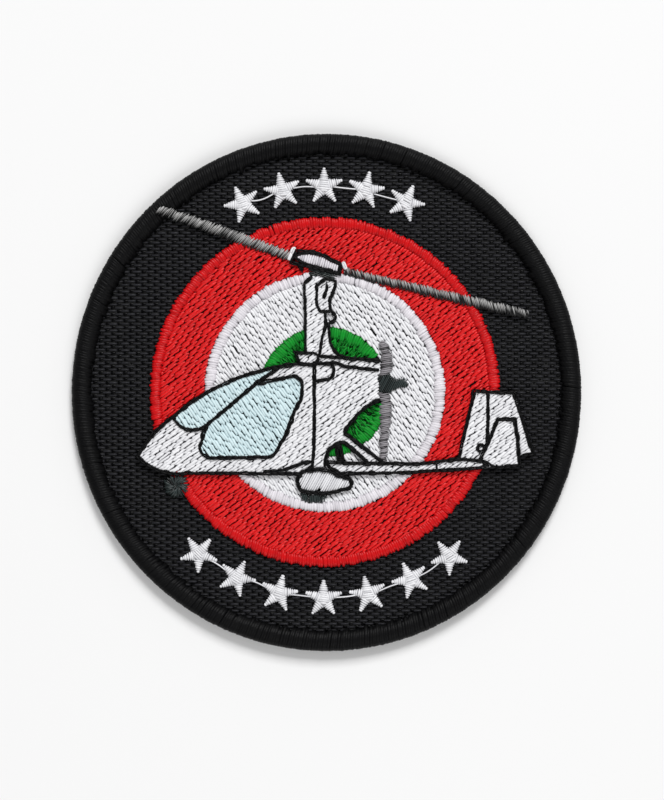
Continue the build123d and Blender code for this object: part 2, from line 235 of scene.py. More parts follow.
class Nodes:
    """A small helper to wire a material's nodes."""

    def __init__(self, name, roughness):
        self.material = bpy.data.materials.new(name)
        self.material.use_nodes = True
        self.tree = self.material.node_tree
        self.shader = self.tree.nodes["Principled BSDF"]
        self.shader.inputs["Roughness"].default_value = roughness

    def feed(self, socket, value):
        """Give a socket a number or a colour, or link it to another node's output."""
        if isinstance(value, bpy.types.NodeSocket):
            self.tree.links.new(value, socket)
        else:
            socket.default_value = value

    def add(self, kind, inputs, **settings):
        """A node with its settings, its sockets fed by number or name."""
        node = self.tree.nodes.new(kind)
        for key, value in settings.items():
            setattr(node, key, value)
        for key, value in inputs.items():
            self.feed(node.inputs[key], value)
        return node

    def maths(self, operation, first, second=0):
        """The output of a maths node."""
        return self.add("ShaderNodeMath", {0: first, 1: second}, operation=operation).outputs[0]

    def mix(self, factor, first, second):
        """Two colours mixed."""
        return self.add("ShaderNodeMix", {0: factor, 6: first, 7: second}, data_type="RGBA").outputs[2]

    def noise(self, scale, detail=2.0):
        """Noise over the piece's own coordinates."""
        place = self.add("ShaderNodeTexCoord", {}).outputs["Object"]
        inputs = {"Vector": place, "Scale": scale, "Detail": detail}
        return self.add("ShaderNodeTexNoise", inputs).outputs["Fac"]

    def bump(self, height, strength):
        """Use a height as the surface's bump."""
        inputs = {"Height": height, "Strength": strength, "Distance": BUMP_DEPTH}
        self.feed(self.shader.inputs["Normal"], self.add("ShaderNodeBump", inputs).outputs["Normal"])

    def colour(self, value):
        """Give the surface its colour. Returns the finished material."""
        self.feed(self.shader.inputs["Base Color"], value)
        return self.material


def thread_material(name, colour, deep, roughness=0.42, specular=0.45, sheen=0.10, ply=0.55, sides=0.55):
    """Twisted thread: a lustrous yarn with painted shade towards its sides, darkened too by its shade value,
    with ply lines as bump.
    """
    n = Nodes(name, roughness)
    n.shader.inputs["Specular IOR Level"].default_value = specular
    n.shader.inputs["Sheen Weight"].default_value = sheen
    n.shader.inputs["Sheen Roughness"].default_value = 0.4
    told = n.add("ShaderNodeAttribute", {}, attribute_name="thread").outputs["Vector"]
    across, along, shade = n.add("ShaderNodeSeparateXYZ", {0: told}).outputs
    # Painted shade: a thread's sides go towards the deep colour, its shaded copy, by sides; the shade value
    # adds painted shade and random tone
    side = n.maths("POWER", n.maths("ABSOLUTE", across), 3.0)
    dark = n.maths("ADD", n.maths("MULTIPLY", side, sides), n.maths("MULTIPLY", shade, SHADE_WEIGHT))
    turn = n.maths("ADD", n.maths("MULTIPLY", along, PLY_LINES), n.maths("MULTIPLY", across, PLY_SLANT))
    fibres = n.noise(FIBRE_SCALE)
    n.bump(n.maths("ADD", n.maths("MULTIPLY", n.maths("SINE", turn), ply), fibres), 0.35)
    grain = n.maths("MULTIPLY", fibres, FIBRE_WEIGHT)
    return n.colour(n.mix(grain, n.mix(dark, colour, deep), deep))


def sheet_material(name, colour, deep, roughness, scale):
    """A sheet with a fine matted grain."""
    n = Nodes(name, roughness)
    noise = n.noise(scale, 6.0)
    n.bump(noise, 0.5)
    return n.colour(n.mix(noise, colour, deep))


# Each thread colour has a deep colour, its shaded copy, used for painted shade and random tone; sides is how
# much painted shade darkens a thread's sides
RED = thread_material("thread_red", linear(233, 7, 11), linear(80, 1, 3), specular=0.30, sheen=0.02)
RED_EDGE = thread_material(
    "thread_red_edge", linear(216, 4, 10), linear(108, 2, 7), specular=0.20, sheen=0.0, sides=0.35
)
WHITE = thread_material(
    "thread_white", linear(249, 249, 251), linear(126, 126, 134), specular=0.28, sheen=0.02
)
WHITE_EDGE = thread_material(
    "thread_white_edge", linear(244, 240, 245), linear(98, 94, 104), specular=0.24, sheen=0.02, sides=0.42
)
GREEN = thread_material(
    "thread_green", linear(24, 156, 48), linear(0, 18, 2), specular=0.10, sheen=0.0, sides=0.75
)
PALE = thread_material(
    "thread_pale_blue", linear(224, 243, 246), linear(104, 136, 146), specular=0.28, sheen=0.02
)
GREY = thread_material("thread_grey", linear(198, 197, 196), linear(8, 9, 10), specular=0.40)
PURPLE_GREY = thread_material(
    "thread_propeller", linear(164, 160, 165), linear(12, 12, 14), specular=0.25, sides=0.75
)
DARK = thread_material(
    "thread_dark_grey", linear(50, 60, 60), linear(1, 2, 2), 0.38, specular=0.35, sheen=0.0, sides=0.8
)
BLACK = thread_material("thread_black", linear(7, 7, 8), linear(1, 1, 2), 0.50, specular=0.12, sheen=0.0)
BORDER = thread_material(
    "thread_border", linear(10, 10, 11), linear(1, 1, 2), 0.50, specular=0.10, sheen=0.0
)
CLOTH = thread_material(
    "yarn_ground", linear(47, 47, 51), linear(0, 0, 1), 0.32, specular=0.07, sheen=0.0, ply=0.2, sides=0.8
)


def make_mesh(name, points, quads, thread, material, slot, replaces=()):
    """A piece from arrays: its points, its four-cornered faces and what each point says of its thread."""
    mesh = bpy.data.meshes.new(name)
    mesh.vertices.add(len(points))
    mesh.vertices.foreach_set("co", np.ascontiguousarray(points, np.float32).ravel())
    mesh.loops.add(quads.size)
    mesh.loops.foreach_set("vertex_index", np.ascontiguousarray(quads, np.int32).ravel())
    mesh.polygons.add(len(quads))
    mesh.polygons.foreach_set("loop_start", np.arange(0, quads.size, 4, dtype=np.int32))
    mesh.polygons.foreach_set("use_smooth", np.ones(len(quads), bool))
    told = mesh.attributes.new("thread", "FLOAT_VECTOR", "POINT")
    told.data.foreach_set("vector", np.ascontiguousarray(thread, np.float32).ravel())
    mesh.update()
    mesh.validate()
    piece = bpy.data.objects.new(name, mesh)
    bpy.context.scene.collection.objects.link(piece)
    mesh.materials.append(material)
    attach(piece, BODY)
    if replaces:
        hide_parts(*replaces)
    return piece


class Yarns:
    """Threads gathered into one piece: each is a path of rings, half round above its line."""

    def __init__(self, sides=4):
        self.sides = sides
        self.points, self.quads, self.thread, self.count = [], [], [], 0

    def add(self, paths, half_width, rise, side=None, shade=None):
        """Lay threads along paths, an array of threads by rings by 3.

        half_width, rise and shade are threads by rings, and side is the way across each thread.
        """
        many, rings, _ = paths.shape
        run = unit(np.gradient(paths, axis=1))
        if side is None:
            side = unit(lifted(left_of(run), 0.0))
        up = np.cross(run, side)
        turns = np.linspace(0, math.pi, self.sides + 1)
        across = np.cos(turns)
        points = (
            paths[:, :, None, :]
            + side[:, :, None, :] * (half_width[..., None] * across)[..., None]
            + up[:, :, None, :] * (rise[..., None] * np.sin(turns))[..., None]
        )
        length = np.linalg.norm(np.diff(paths, axis=1), axis=2).cumsum(1) / MM
        length = np.concatenate([np.zeros((many, 1)), length], 1) + rng.uniform(0, 9, (many, 1))
        # A random tone for each thread; a shade given adds to it and carries painted shade
        random_shade = rng.uniform(0, 1, (many, 1))
        shade = random_shade if shade is None else 0.35 * random_shade + shade
        shade = shade[..., None] * np.ones((1, rings, self.sides + 1))
        told = [np.broadcast_to(values, shade.shape) for values in (across, length[..., None], shade)]
        wide = self.sides + 1
        first = np.arange(rings - 1)[:, None] * wide + np.arange(self.sides)[None, :]
        quad = np.stack([first, first + wide, first + wide + 1, first + 1], 2).reshape(-1, 4)
        starts = self.count + np.arange(many)[:, None, None] * (rings * wide)
        self.points.append(points.reshape(-1, 3))
        self.quads.append((quad[None] + starts).reshape(-1, 4))
        self.thread.append(np.stack(told, 3).reshape(-1, 3))
        self.count += many * rings * wide

    def piece(self, name, material, slot, replaces=()):
        """Make the mesh of all threads laid so far."""
        arrays = [np.concatenate(part) for part in (self.points, self.quads, self.thread)]
        return make_mesh(name, *arrays, material, slot, replaces)


def upper_edges(node):
    """The boundary of a CAD node's upper face: the edges that no second triangle of it shares."""
    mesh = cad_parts[node].data
    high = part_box(node)[1].z
    mesh.calc_loop_triangles()
    co = np.array([v.co for v in mesh.vertices], float)
    keys = np.round(co / (0.002 * MM)).astype(np.int64)
    single = {}
    for triangle in mesh.loop_triangles:
        corners = list(triangle.vertices)
        if triangle.normal.z < 0.9 or np.abs(co[corners, 2] - high).max() > 0.03 * MM:
            continue
        for a, b in zip(corners, corners[1:] + corners[:1]):
            edge = (tuple(keys[a]), tuple(keys[b]))
            if edge[::-1] in single:
                del single[edge[::-1]]
            else:
                single[edge] = (co[a, :2], co[b, :2])
    return list(single.values())


def pairs(marks):
    """Marks taken two by two, as the spans between them."""
    return list(zip(marks[0::2], marks[1::2]))


class Region:
    """A flat area, kept as the segments of its boundary, with the area on their left."""

    def __init__(self, segments):
        self.segments = np.array(segments)

    def crossings(self, u, v, level):
        """Where a line along u at this level crosses the boundary."""
        a, b = self.segments[:, 0], self.segments[:, 1]
        au, av, bu, bv = a @ u, a @ v, b @ u, b @ v
        hit = (av > level) != (bv > level)
        share = (level - av[hit]) / (bv[hit] - av[hit])
        return np.sort(au[hit] + share * (bu[hit] - au[hit]))

    def spans(self, angle, pitch, covers=()):
        """Chords of the region along an angle in degrees, a pitch apart, less what the covers hide."""
        u = ways(math.radians(angle))
        v = left_of(u)
        across = self.segments.reshape(-1, 2) @ v
        found = []
        for k in range(math.floor(across.min() / pitch), math.ceil(across.max() / pitch) + 1):
            level = (k + 0.5) * pitch
            spans = pairs(self.crossings(u, v, level))
            for low, high in hidden_spans(covers, u, v, level):
                parts = [part for a, b in spans for part in ((a, min(b, low)), (max(a, high), b))]
                spans = [(a, b) for a, b in parts if b > a]
            found += [(k, level, a, b) for a, b in spans if b - a > SHORTEST_THREAD]
        return found, u, v

    def holds(self, points):
        """Whether each point lies inside the region."""
        a, b = self.segments[:, 0], self.segments[:, 1]
        x, y = points[:, 0, None], points[:, 1, None]
        hit = (a[:, 1] > y) != (b[:, 1] > y)
        climb = np.where(b[:, 1] == a[:, 1], 1, b[:, 1] - a[:, 1])
        at = a[:, 0] + (y - a[:, 1]) * (b[:, 0] - a[:, 0]) / climb
        return (hit & (at > x)).sum(1) % 2 == 1


def node_region(node):
    """The upper face of a CAD node."""
    return Region(upper_edges(node))


def picture_region(shares):
    """A region whose corners are places in the picture."""
    points = picture_points(shares)
    return Region(np.stack([points, np.roll(points, -1, 0)], 1))


def hidden_spans(covers, u, v, level):
    """The stretches of a row that lie well under the pieces sewn over it."""
    spans = []
    for cover in covers:
        marks = cover.crossings(u, v, level)
        spans += [(a - COVER_GROWTH, b + COVER_GROWTH) for a, b in pairs(marks)]
    merged = []
    for a, b in sorted(spans):
        if merged and a <= merged[-1][1]:
            merged[-1] = (merged[-1][0], max(b, merged[-1][1]))
        else:
            merged.append((a, b))
    inset_by = COVER_INSET + COVER_GROWTH
    return [(a + inset_by, b - inset_by) for a, b in merged if b - a > 2 * inset_by + COVER_LEAST]


def shown(starts, ends, covers):
    """The stitches that aren't wholly under the pieces sewn over them."""
    starts, ends = np.array(starts), np.array(ends)
    run = unit(ends - starts)
    side = left_of(run) * PROBE_SIDE
    middle = (starts + ends) / 2
    hidden = np.ones(len(starts), bool)
    for points in (starts - PROBE_END * run, ends + PROBE_END * run, middle + side, middle - side):
        hidden &= np.any([cover.holds(points) for cover in covers], axis=0)
    return starts[~hidden], ends[~hidden]


def lay_fill(yarns, starts, ends, away, top):
    """Stitches from needle hole to needle hole. away says to which side each turns at its ends."""
    starts, ends, away = np.array(starts), np.array(ends), np.array(away, float)
    many = len(starts)
    length = np.linalg.norm(ends - starts, axis=1, keepdims=True)
    eye = np.minimum(HOLE_LENGTH / length, 0.33)
    half = np.concatenate([eye * EYE, np.full((many, 1), 0.5)], 1)
    t = np.concatenate([half, 1 - half[:, 3::-1]], 1)
    ones = np.ones((many, 1))
    depth = np.concatenate([EYE_DEPTH, [0], EYE_DEPTH[::-1]]) * ones
    width = np.concatenate([EYE_WIDTH, [1], EYE_WIDTH[::-1]]) * ones
    aside = np.concatenate([EYE_DEPTH * away[:, :1], 0.7 * away[:, 1:2], EYE_DEPTH[::-1] * away[:, 2:]], 1)
    aside = aside * HOLE_SPREAD * rng.uniform(0.1, 1.9, (many, 1))
    aside = aside + rng.normal(0, STITCH_SWAY, (many, 1)) * (1 - depth)
    aside = aside + STITCH_LEAN * rng.normal(1, 0.5, (many, 1)) * (2 * t - 1)
    normal = left_of(unit(ends - starts))
    flat = between(starts, ends, t) + normal[:, None, :] * aside[..., None]
    height = top - THREAD_RISE - HOLE_DEPTH * depth
    height = height + rng.normal(0, HEIGHT_SPREAD, (many, 1)) * (1 - depth)
    wide = FILL_HALF_WIDTH * rng.normal(1, 0.09, (many, 1)) * width
    tall = THREAD_RISE * (0.4 + 0.6 * width)
    # Painted shade where the thread dips into a needle hole, plus a random tone
    shade = 0.1 + 0.55 * depth + 0.35 * rng.uniform(0, 1, (many, 1)) ** 2
    yarns.add(lifted(flat, height), wide, tall, shade=shade)


def fill_stitch(yarns, region, angle, top, covers=()):
    """Rows of stitches, sewn there and back. The two rows of a pair part at each other's needle holes."""
    spans, u, v = region.spans(angle, FILL_PITCH, covers)
    starts, ends, away = [], [], []
    for k, level, low, high in spans:
        side = 1 if k % 2 else -1
        phase = (k // 2) * FILL_SHIFT + (HOLE_OFFSET if k % 2 else 0) + rng.normal(0, ROW_SPREAD)
        hole = math.ceil((low + 0.40 * FILL_STITCH - phase) / FILL_STITCH)
        marks = [low - rng.uniform(0, FILL_REACH)]
        while hole * FILL_STITCH + phase < high - 0.3 * FILL_STITCH:
            if rng.uniform() > HOLES_SKIPPED:
                marks.append(hole * FILL_STITCH + phase + rng.normal(0, HOLE_JITTER))
            hole += 1
        marks.append(high + rng.uniform(0, FILL_REACH))
        for i in range(len(marks) - 1):
            starts.append(u * marks[i] + v * level)
            ends.append(u * marks[i + 1] + v * level)
            away.append((side if i else 0, side, side if i < len(marks) - 2 else 0))
    lay_fill(yarns, starts, ends, away, top)


def satin_stitch(
    yarns, region, angle, foot, top, pitch=SATIN_PITCH, ragged=0.10 * MM, sway=0.0, notch=None,
    narrow=(0, 0), **looks
):
    """Satin: threads from edge to edge of a narrow area, arched over its middle.

    ragged is how unevenly they end, and narrow how far they stop short of each edge. A notch
    shortens some at their start: its x, its depth and its half width.
    """
    spans, u, v = region.spans(angle, pitch)
    starts, ends = [], []
    for k, level, low, high in spans:
        reach = rng.uniform(-0.3 * ragged, ragged, 2) - np.array(narrow)
        lean = (sway if k % 2 else -sway) + rng.normal(0, SATIN_SKEW)
        start = u * (low - reach[0]) + v * (level + lean)
        if notch:
            start = start + u * notch[1] * max(0, 1 - abs(start[0] - notch[0]) / notch[2])
        starts.append(start)
        ends.append(u * (high + reach[1]) + v * (level - lean))
    arch_threads(yarns, starts, ends, foot, top, 0.54 * pitch, **looks)


def arch_threads(
    yarns, starts, ends, foot, top, half_width, dark_start=0.0, contrast=0.0, lift=None,
    rise=0.9 * THREAD_RISE
):
    """Satin threads that rise from their foot to the crown and go down again, with painted shade towards
    their feet.
    """
    starts, ends = np.array(starts), np.array(ends)
    many = len(starts)
    t = RINGS[None, :]
    arch = (1 - np.abs(2 * t - 1) ** 3.0) ** 0.8
    length = np.linalg.norm(ends - starts, axis=1)[:, None]
    bow = rng.normal(0, SATIN_BOW, (many, 1)) * (1 - (2 * t - 1) ** 2)
    flat = between(starts, ends, t)
    flat = flat + left_of(unit(ends - starts))[:, None, :] * bow[..., None]
    full = foot + (top - rise - foot) * np.clip(length / SATIN_FULL_LENGTH, 0.45, 1)
    height = foot + (full - foot) * arch + rng.normal(0, HEIGHT_SPREAD, (many, 1)) * arch
    if lift is not None:
        height = height + lift(flat)
    wide = half_width * rng.normal(1, 0.08, (many, 1)) * (0.55 + 0.45 * arch)
    tall = rise * (0.6 + 0.4 * arch) * np.ones((many, 1))
    # Painted shade: darker towards the feet, where the thread goes down, and, when asked, towards its start;
    # contrast adds a random tone
    shade = 0.2 + 0.7 * (1 - arch) + dark_start * np.clip(1.3 * (1 - t) - 0.3, 0, 1)
    shade = shade + contrast * 1.6 * rng.uniform(0, 1, (many, 1)) ** 2.5
    yarns.add(lifted(flat, height), wide, tall, shade=shade)


def loose_threads(yarns, shares, foot, top, half_width=LOOSE_HALF_WIDTH):
    """Single threads between pairs of places in the picture."""
    points = picture_points(shares)
    arch_threads(yarns, points[:, 0], points[:, 1], foot, top, half_width)


def ring_satin(yarns, radius, top, covers, ragged):
    """A satin edge round the roundel: threads that lean a little from its radius."""
    middle = radius - EDGE_WIDTH / 2
    count = int(2 * math.pi * middle / SATIN_PITCH)
    turns = (np.arange(count) + rng.normal(0, 0.10, count)) / count * 2 * math.pi
    inner = radius - EDGE_WIDTH - rng.uniform(-0.3, 1, count) * ragged
    outer = radius + rng.uniform(*EDGE_OUTSIDE, count)
    starts = ROUNDEL + ways(turns) * inner[:, None]
    turns = turns + (0.10 + rng.normal(0, 0.035, count)) * EDGE_WIDTH / middle
    ends = ROUNDEL + ways(turns) * outer[:, None]
    starts, ends = shown(starts, ends, covers)
    foot, half_width = GROUND_TOP + EDGE_FOOT, 0.74 * SATIN_PITCH
    arch_threads(yarns, starts, ends, foot, top, half_width, contrast=0.45, rise=0.70 * THREAD_RISE)


def place_key(point):
    """Points that share a key are one corner."""
    return tuple(np.round(point / (0.004 * MM)).astype(int))


def loops_of(region):
    """The region's boundary as closed loops of points, the region on their left."""
    after = {}
    for a, b in region.segments:
        after.setdefault(place_key(a), []).append((a, b))
    loops = []
    while after:
        key = next(iter(after))
        loop = []
        while key in after:
            options = after[key]
            a, b = options.pop()
            if not options:
                del after[key]
            loop.append(a)
            key = place_key(b)
        if len(loop) > 2:
            loops.append(np.array(loop))
    return loops


def inset(loop, amount):
    """A closed loop moved to its left by an amount, with mitred corners."""
    ahead = unit(np.roll(loop, -1, 0) - loop)
    normal = left_of(ahead + np.roll(ahead, 1, 0))
    size = (normal ** 2).sum(1, keepdims=True)
    return loop + amount * 2 * normal / np.maximum(size, 1.2)


def chains(loop):
    """A closed loop cut into chains at its sharp corners."""
    ahead = np.roll(loop, -1, 0) - loop
    heading = np.arctan2(ahead[:, 1], ahead[:, 0])
    turn = np.degrees((heading - np.roll(heading, 1) + math.pi) % (2 * math.pi) - math.pi)
    corners = [i for i in range(len(loop)) if abs(turn[i]) > SHARP_TURN]
    if not corners:
        return [np.concatenate([loop, loop[:1]])]
    ends = corners[1:] + [corners[0] + len(loop)]
    return [loop[np.arange(a, b + 1) % len(loop)] for a, b in zip(corners, ends)]


def along(chain, marks):
    """Points at these distances along a chain."""
    steps = np.linalg.norm(np.diff(chain, axis=0), axis=1)
    total = np.concatenate([[0], steps.cumsum()])
    return np.stack([np.interp(marks, total, chain[:, i]) for i in (0, 1)], -1)


def run_stitch(yarns, region, top, strands=(RUN_INSET,)):
    """Outline thread: strands of running stitch that follow both sides of a narrow band."""
    for offset in strands:
        for loop in loops_of(region):
            if np.linalg.norm(loop - np.roll(loop, 1, 0), axis=1).sum() < SHORTEST_LOOP:
                continue
            for chain in chains(inset(loop, offset)):
                run_chain(yarns, region, chain, top - 0.04 * MM * (offset > RUN_INSET), top - RUN_DROP)


def run_chain(yarns, region, chain, top, base):
    """Stitches of outline thread, one behind the other along a chain, where they lie in the region."""
    length = np.linalg.norm(np.diff(chain, axis=0), axis=1).sum()
    if length < SHORTEST_CHAIN:
        return
    count = max(1, round(length / RUN_STITCH))
    edges = np.linspace(0, length, count + 1)
    edges[1:-1] += rng.normal(0, RUN_SPREAD, count - 1)
    low, high = edges[:-1, None] - RUN_OVERLAP, edges[1:, None] + RUN_OVERLAP
    t = RINGS[None, :]
    flat = along(chain, low + (high - low) * t)
    flat = flat[region.holds(flat[:, len(RINGS) // 2])]
    count = len(flat)
    if not count:
        return
    arch = 1 - np.abs(2 * t - 1) ** 2.8
    run = unit(np.gradient(flat, axis=1))
    sway = rng.normal(0, RUN_SWAY, (count, 1)) * (1 - (2 * t - 1) ** 2)
    flat = flat + left_of(run) * sway[..., None]
    height = base + (top - base) * (0.66 + 0.34 * arch) - THREAD_RISE
    height = height + rng.normal(0, 0.03 * MM, (count, 1)) * arch
    wide = RUN_WIDTH / 2 * rng.normal(1.14, 0.17, (count, 1)) * (0.52 + 0.48 * arch)
    tall = THREAD_RISE * 1.15 * (0.55 + 0.45 * arch) * np.ones((count, 1))
    yarns.add(lifted(flat, height), wide, tall)


def make_border():
    """The merrowed border: thread after thread from the front foot over the edge to the back lip."""
    count = round(math.pi * (HALF_WIDTH + HALF_HEIGHT) / BORDER_PITCH)
    yarns = Yarns(sides=5)
    turns = (np.arange(count) + rng.normal(0, 0.09, count)) / count * 2 * math.pi
    bend = np.radians(np.linspace(BORDER_FRONT, BORDER_BACK, BORDER_RINGS))
    angle = np.concatenate([bend, bend[-1:], bend[-1:]])[None, :]
    slide = np.concatenate([np.zeros(BORDER_RINGS), BORDER_TAIL])[None, :]
    rings = angle.shape[1]
    lean = np.linspace(BORDER_LEAN, -BORDER_LEAN, rings)[None, :]
    lean = lean * rng.normal(1, 0.12, (count, 1)) / count * 2 * math.pi
    where = turns[:, None] + lean
    reach = BORDER_WIDTH / 2 - BORDER_YARN + rng.normal(0, 0.020 * MM, (count, 1))
    foot = rng.normal(0, BORDER_FOOT_SPREAD, (count, 1)) * (angle > math.radians(BORDER_FOOT_FROM))
    inward = BORDER_WIDTH / 2 - reach * np.cos(angle) + foot + slide
    height = BORDER_HEIGHT / 2 + (BORDER_HEIGHT / 2 - BORDER_YARN) * np.sin(angle)
    height = height + rng.uniform(-0.05 * MM, 0, (count, 1)) * (angle > 0)
    normal = unit(ways(where) * (HALF_HEIGHT, HALF_WIDTH))
    edge = ways(where) * (HALF_WIDTH, HALF_HEIGHT)
    paths = lifted(edge - normal * inward[..., None], height)
    half = BORDER_PITCH * 0.72 * rng.normal(1, 0.10, (count, 1)) * np.ones((1, rings))
    tall = BORDER_YARN * rng.normal(1, 0.06, (count, 1)) * np.ones((1, rings))
    yarns.add(paths, half, tall, lifted(left_of(normal), 0.0))
    yarns.piece("border_threads", BORDER, "border_thread", ["merrowed_border"])


def in_band(x, y):
    """Whether the plain cloth shows here: outside the roundel and inside the border."""
    under_red, under_border = 0.5 * MM, 0.7 * MM
    outside = np.hypot(x - ROUNDEL[0], y - ROUNDEL[1]) > RED_RADIUS - under_red
    a, b = HALF_WIDTH - BORDER_WIDTH + under_border, HALF_HEIGHT - BORDER_WIDTH + under_border
    return outside & ((x / a) ** 2 + (y / b) ** 2 < 1)


def make_weave():
    """Plain weave: weft floats and warp floats take turns, cell by cell; the warp floats lie lower and are
    darkened by painted shade.
    """
    yarns = Yarns(sides=4)
    columns = np.arange(-math.ceil(HALF_WIDTH / WEAVE_X), math.ceil(HALF_WIDTH / WEAVE_X) + 1)
    rows = np.arange(-math.ceil(HALF_HEIGHT / WEAVE_Y), math.ceil(HALF_HEIGHT / WEAVE_Y) + 1)
    i, j = [g.ravel() for g in np.meshgrid(columns, rows)]
    x = i * WEAVE_X + 0.05 * MM * np.sin(j * 0.7)
    y = j * WEAVE_Y
    x, y = x + rng.normal(0, 0.03 * MM, x.shape), y + rng.normal(0, 0.02 * MM, y.shape)
    seen = in_band(x, y)
    # dark is painted shade: at 3.0 it takes the lower warp floats nearly to the deep colour; the random part
    # is tone
    for way, half_length, half_width, rise, drop, dark, steps in (
        ((1, 0), 0.66 * WEAVE_X, 0.31 * WEAVE_Y, 0.14 * MM, 0, 0.0, WEFT_STEPS),
        ((0, 1), 0.62 * WEAVE_Y, 0.40 * WEAVE_X, 0.05 * MM, 0.12 * MM, 3.0, WARP_STEPS),
    ):
        t = np.array(steps)[None, :]
        arch = 1 - np.abs(2 * t - 1) ** 9.0
        middles = np.stack([x, y], 1)[seen & ((i + j) % 2 == way[1])]
        many = len(middles)
        half_run = half_length * np.array(way)
        height = GROUND_TOP - drop - WEAVE_DIP * (1 - arch) + rng.normal(0, 0.012 * MM, (many, 1))
        wide = half_width * rng.normal(1, 0.07, (many, 1)) * (0.55 + 0.45 * arch)
        tall = rise * rng.normal(1, 0.12, (many, 1)) * (0.4 + 0.6 * arch)
        shade = dark + rng.uniform(0, 0.65, (many, 1)) * np.ones(arch.shape)
        yarns.add(lifted(between(middles - half_run, middles + half_run, t), height), wide, tall, shade=shade)
    return yarns.piece("ground_weave", CLOTH, "ground")


def disc(name, low, high, z_high, material, slot, node):
    """A thin oval disc of sheet, with enough points inside to shade."""
    rings, around = 24, 160
    pinhole = 0.0006
    share = np.linspace(pinhole, 1, rings)[:, None, None]
    half = ((high.x - low.x) / 2, (high.y - low.y) / 2)
    flat = ways(np.arange(around) / around * 2 * math.pi) * half * share
    flat = (flat + ((low.x + high.x) / 2, (low.y + high.y) / 2)).reshape(-1, 2)
    points = np.concatenate([lifted(flat, z_high), lifted(flat, low.z)])
    k = np.arange(rings - 1)[:, None] * around
    m = np.arange(around)[None, :]
    ahead = (m + 1) % around
    under = len(flat)
    last = (rings - 1) * around
    upper = np.stack([k + m, k + around + m, k + around + ahead, k + ahead], 2)
    wall = np.stack([last + m, last + m + under, last + ahead + under, last + ahead], 2)
    hole = np.stack([m, ahead, ahead + under, m + under], 2)
    quads = np.concatenate([part.reshape(-1, 4) for part in (upper, upper[..., ::-1] + under, wall, hole)])
    piece = make_mesh(name, points, quads, np.zeros(points.shape), material, slot, [node])
    piece.data.polygons.foreach_set("use_smooth", np.zeros(len(quads), bool))
    return piece


def make_sheets():
    """The ground cloth with its weave, its backing and the glue film."""
    # The sheet under the weave and the stitching: the black cloth, made darker than its yarn as painted shade
    # where it shows through gaps and needle holes
    under = sheet_material("cloth_under", linear(6, 6, 7), linear(2, 2, 3), 0.8, 3000)
    fleece = sheet_material("fleece", linear(225, 225, 222), linear(190, 190, 186), 0.9, 1800)
    glue = sheet_material("glue_film", linear(232, 230, 224), linear(205, 203, 196), 0.32, 900)
    pieces = {}
    for name, node, material, slot, sink in (
        ("ground_sheet", "ground_cloth", under, "ground", GROUND_SINK),
        ("stabiliser_sheet", "stabiliser", fleece, "backing", 0),
        ("film_sheet", "heat_seal_film", glue, "film", 0),
    ):
        low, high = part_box(node)
        pieces[node] = disc(name, low, high, high.z - sink, material, slot, node)
    for node, rests_on, with_pieces in (
        ("ground_cloth", pieces["stabiliser"], [make_weave()]),
        ("stabiliser", pieces["heat_seal_film"], []),
        ("heat_seal_film", "merrowed_border", []),
    ):
        low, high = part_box(node)


def fill_piece(name, nodes, material, slot, angle=FILL_ANGLE, covers=()):
    """A piece of fill stitch over the upper faces of these nodes."""
    yarns = Yarns()
    for node in nodes:
        fill_stitch(yarns, node_region(node), angle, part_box(node)[1].z, covers)
    return yarns.piece(name, material, slot, nodes)


def satin_piece(name, nodes, material, slot, angle, drop=SATIN_DROP, region=None, **looks):
    """A piece of satin over the upper faces of these nodes, or over another region at their height."""
    yarns = Yarns()
    for node in nodes:
        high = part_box(node)[1].z
        satin_stitch(yarns, region or node_region(node), angle, high - drop, high, **looks)
    return yarns.piece(name, material, slot, nodes)


def make_roundel():
    """Red and white rings of slanted fill, a green middle, and three satin edges."""
    over = [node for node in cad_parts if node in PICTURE_NODES or node.startswith("outline_")]
    covers = [node_region(node) for node in over]
    fill_piece("red_fill", ["roundel_red_fill"], RED, "red_thread", covers=covers)
    fill_piece("white_fill", ["roundel_white_fill"], WHITE, "white_thread", CROSS_ANGLE, covers)
    green_middle(covers)
    behind_spinner = covers + [picture_region(SPINNER_ROOM)]
    for colour, material, behind, ragged in (
        ("red", RED_EDGE, covers, 0.30 * MM),
        ("white", WHITE_EDGE, covers, 0.42 * MM),
        ("green", GREEN, behind_spinner, 0.7 * MM),
    ):
        node = f"roundel_{colour}_edge"
        low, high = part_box(node)
        yarns = Yarns()
        ring_satin(yarns, (high.x - low.x) / 2, high.z, behind, ragged)
        yarns.piece(f"{colour}_edge", material, f"{colour}_thread", [node])


def green_middle(covers):
    """The roundel's middle: two layers of short stitches at odd lengths that fan out from its centre."""
    low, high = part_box("roundel_green_fill")
    radius, top = (high.x - low.x) / 2, high.z
    step, spacing = 0.52 * MM, 0.46 * MM
    foot, half_width = 0.42 * MM, 0.16 * MM
    yarns = Yarns()
    for drop in (0.14 * MM, 0.0):
        starts, ends = [], []
        for r in np.arange(0.5 * MM, radius, step):
            count = int(2 * math.pi * r / spacing)
            for i in range(count):
                turn = (i + rng.uniform(-0.5, 0.5)) / count * 2 * math.pi
                here = r + rng.uniform(-0.3, 0.3) * MM
                slant = turn + rng.normal(0, 0.32)
                reach = rng.uniform(0.40, 0.85) * MM
                middle = ROUNDEL + here * ways(turn)
                starts.append(middle - ways(slant) * reach)
                ends.append(middle + ways(slant) * reach)
        starts, ends = shown(starts, ends, covers)
        arch_threads(yarns, starts, ends, top - foot - drop, top - drop, half_width, contrast=2.0)
    yarns.piece("green_fill", GREEN, "green_thread", ["roundel_green_fill"])


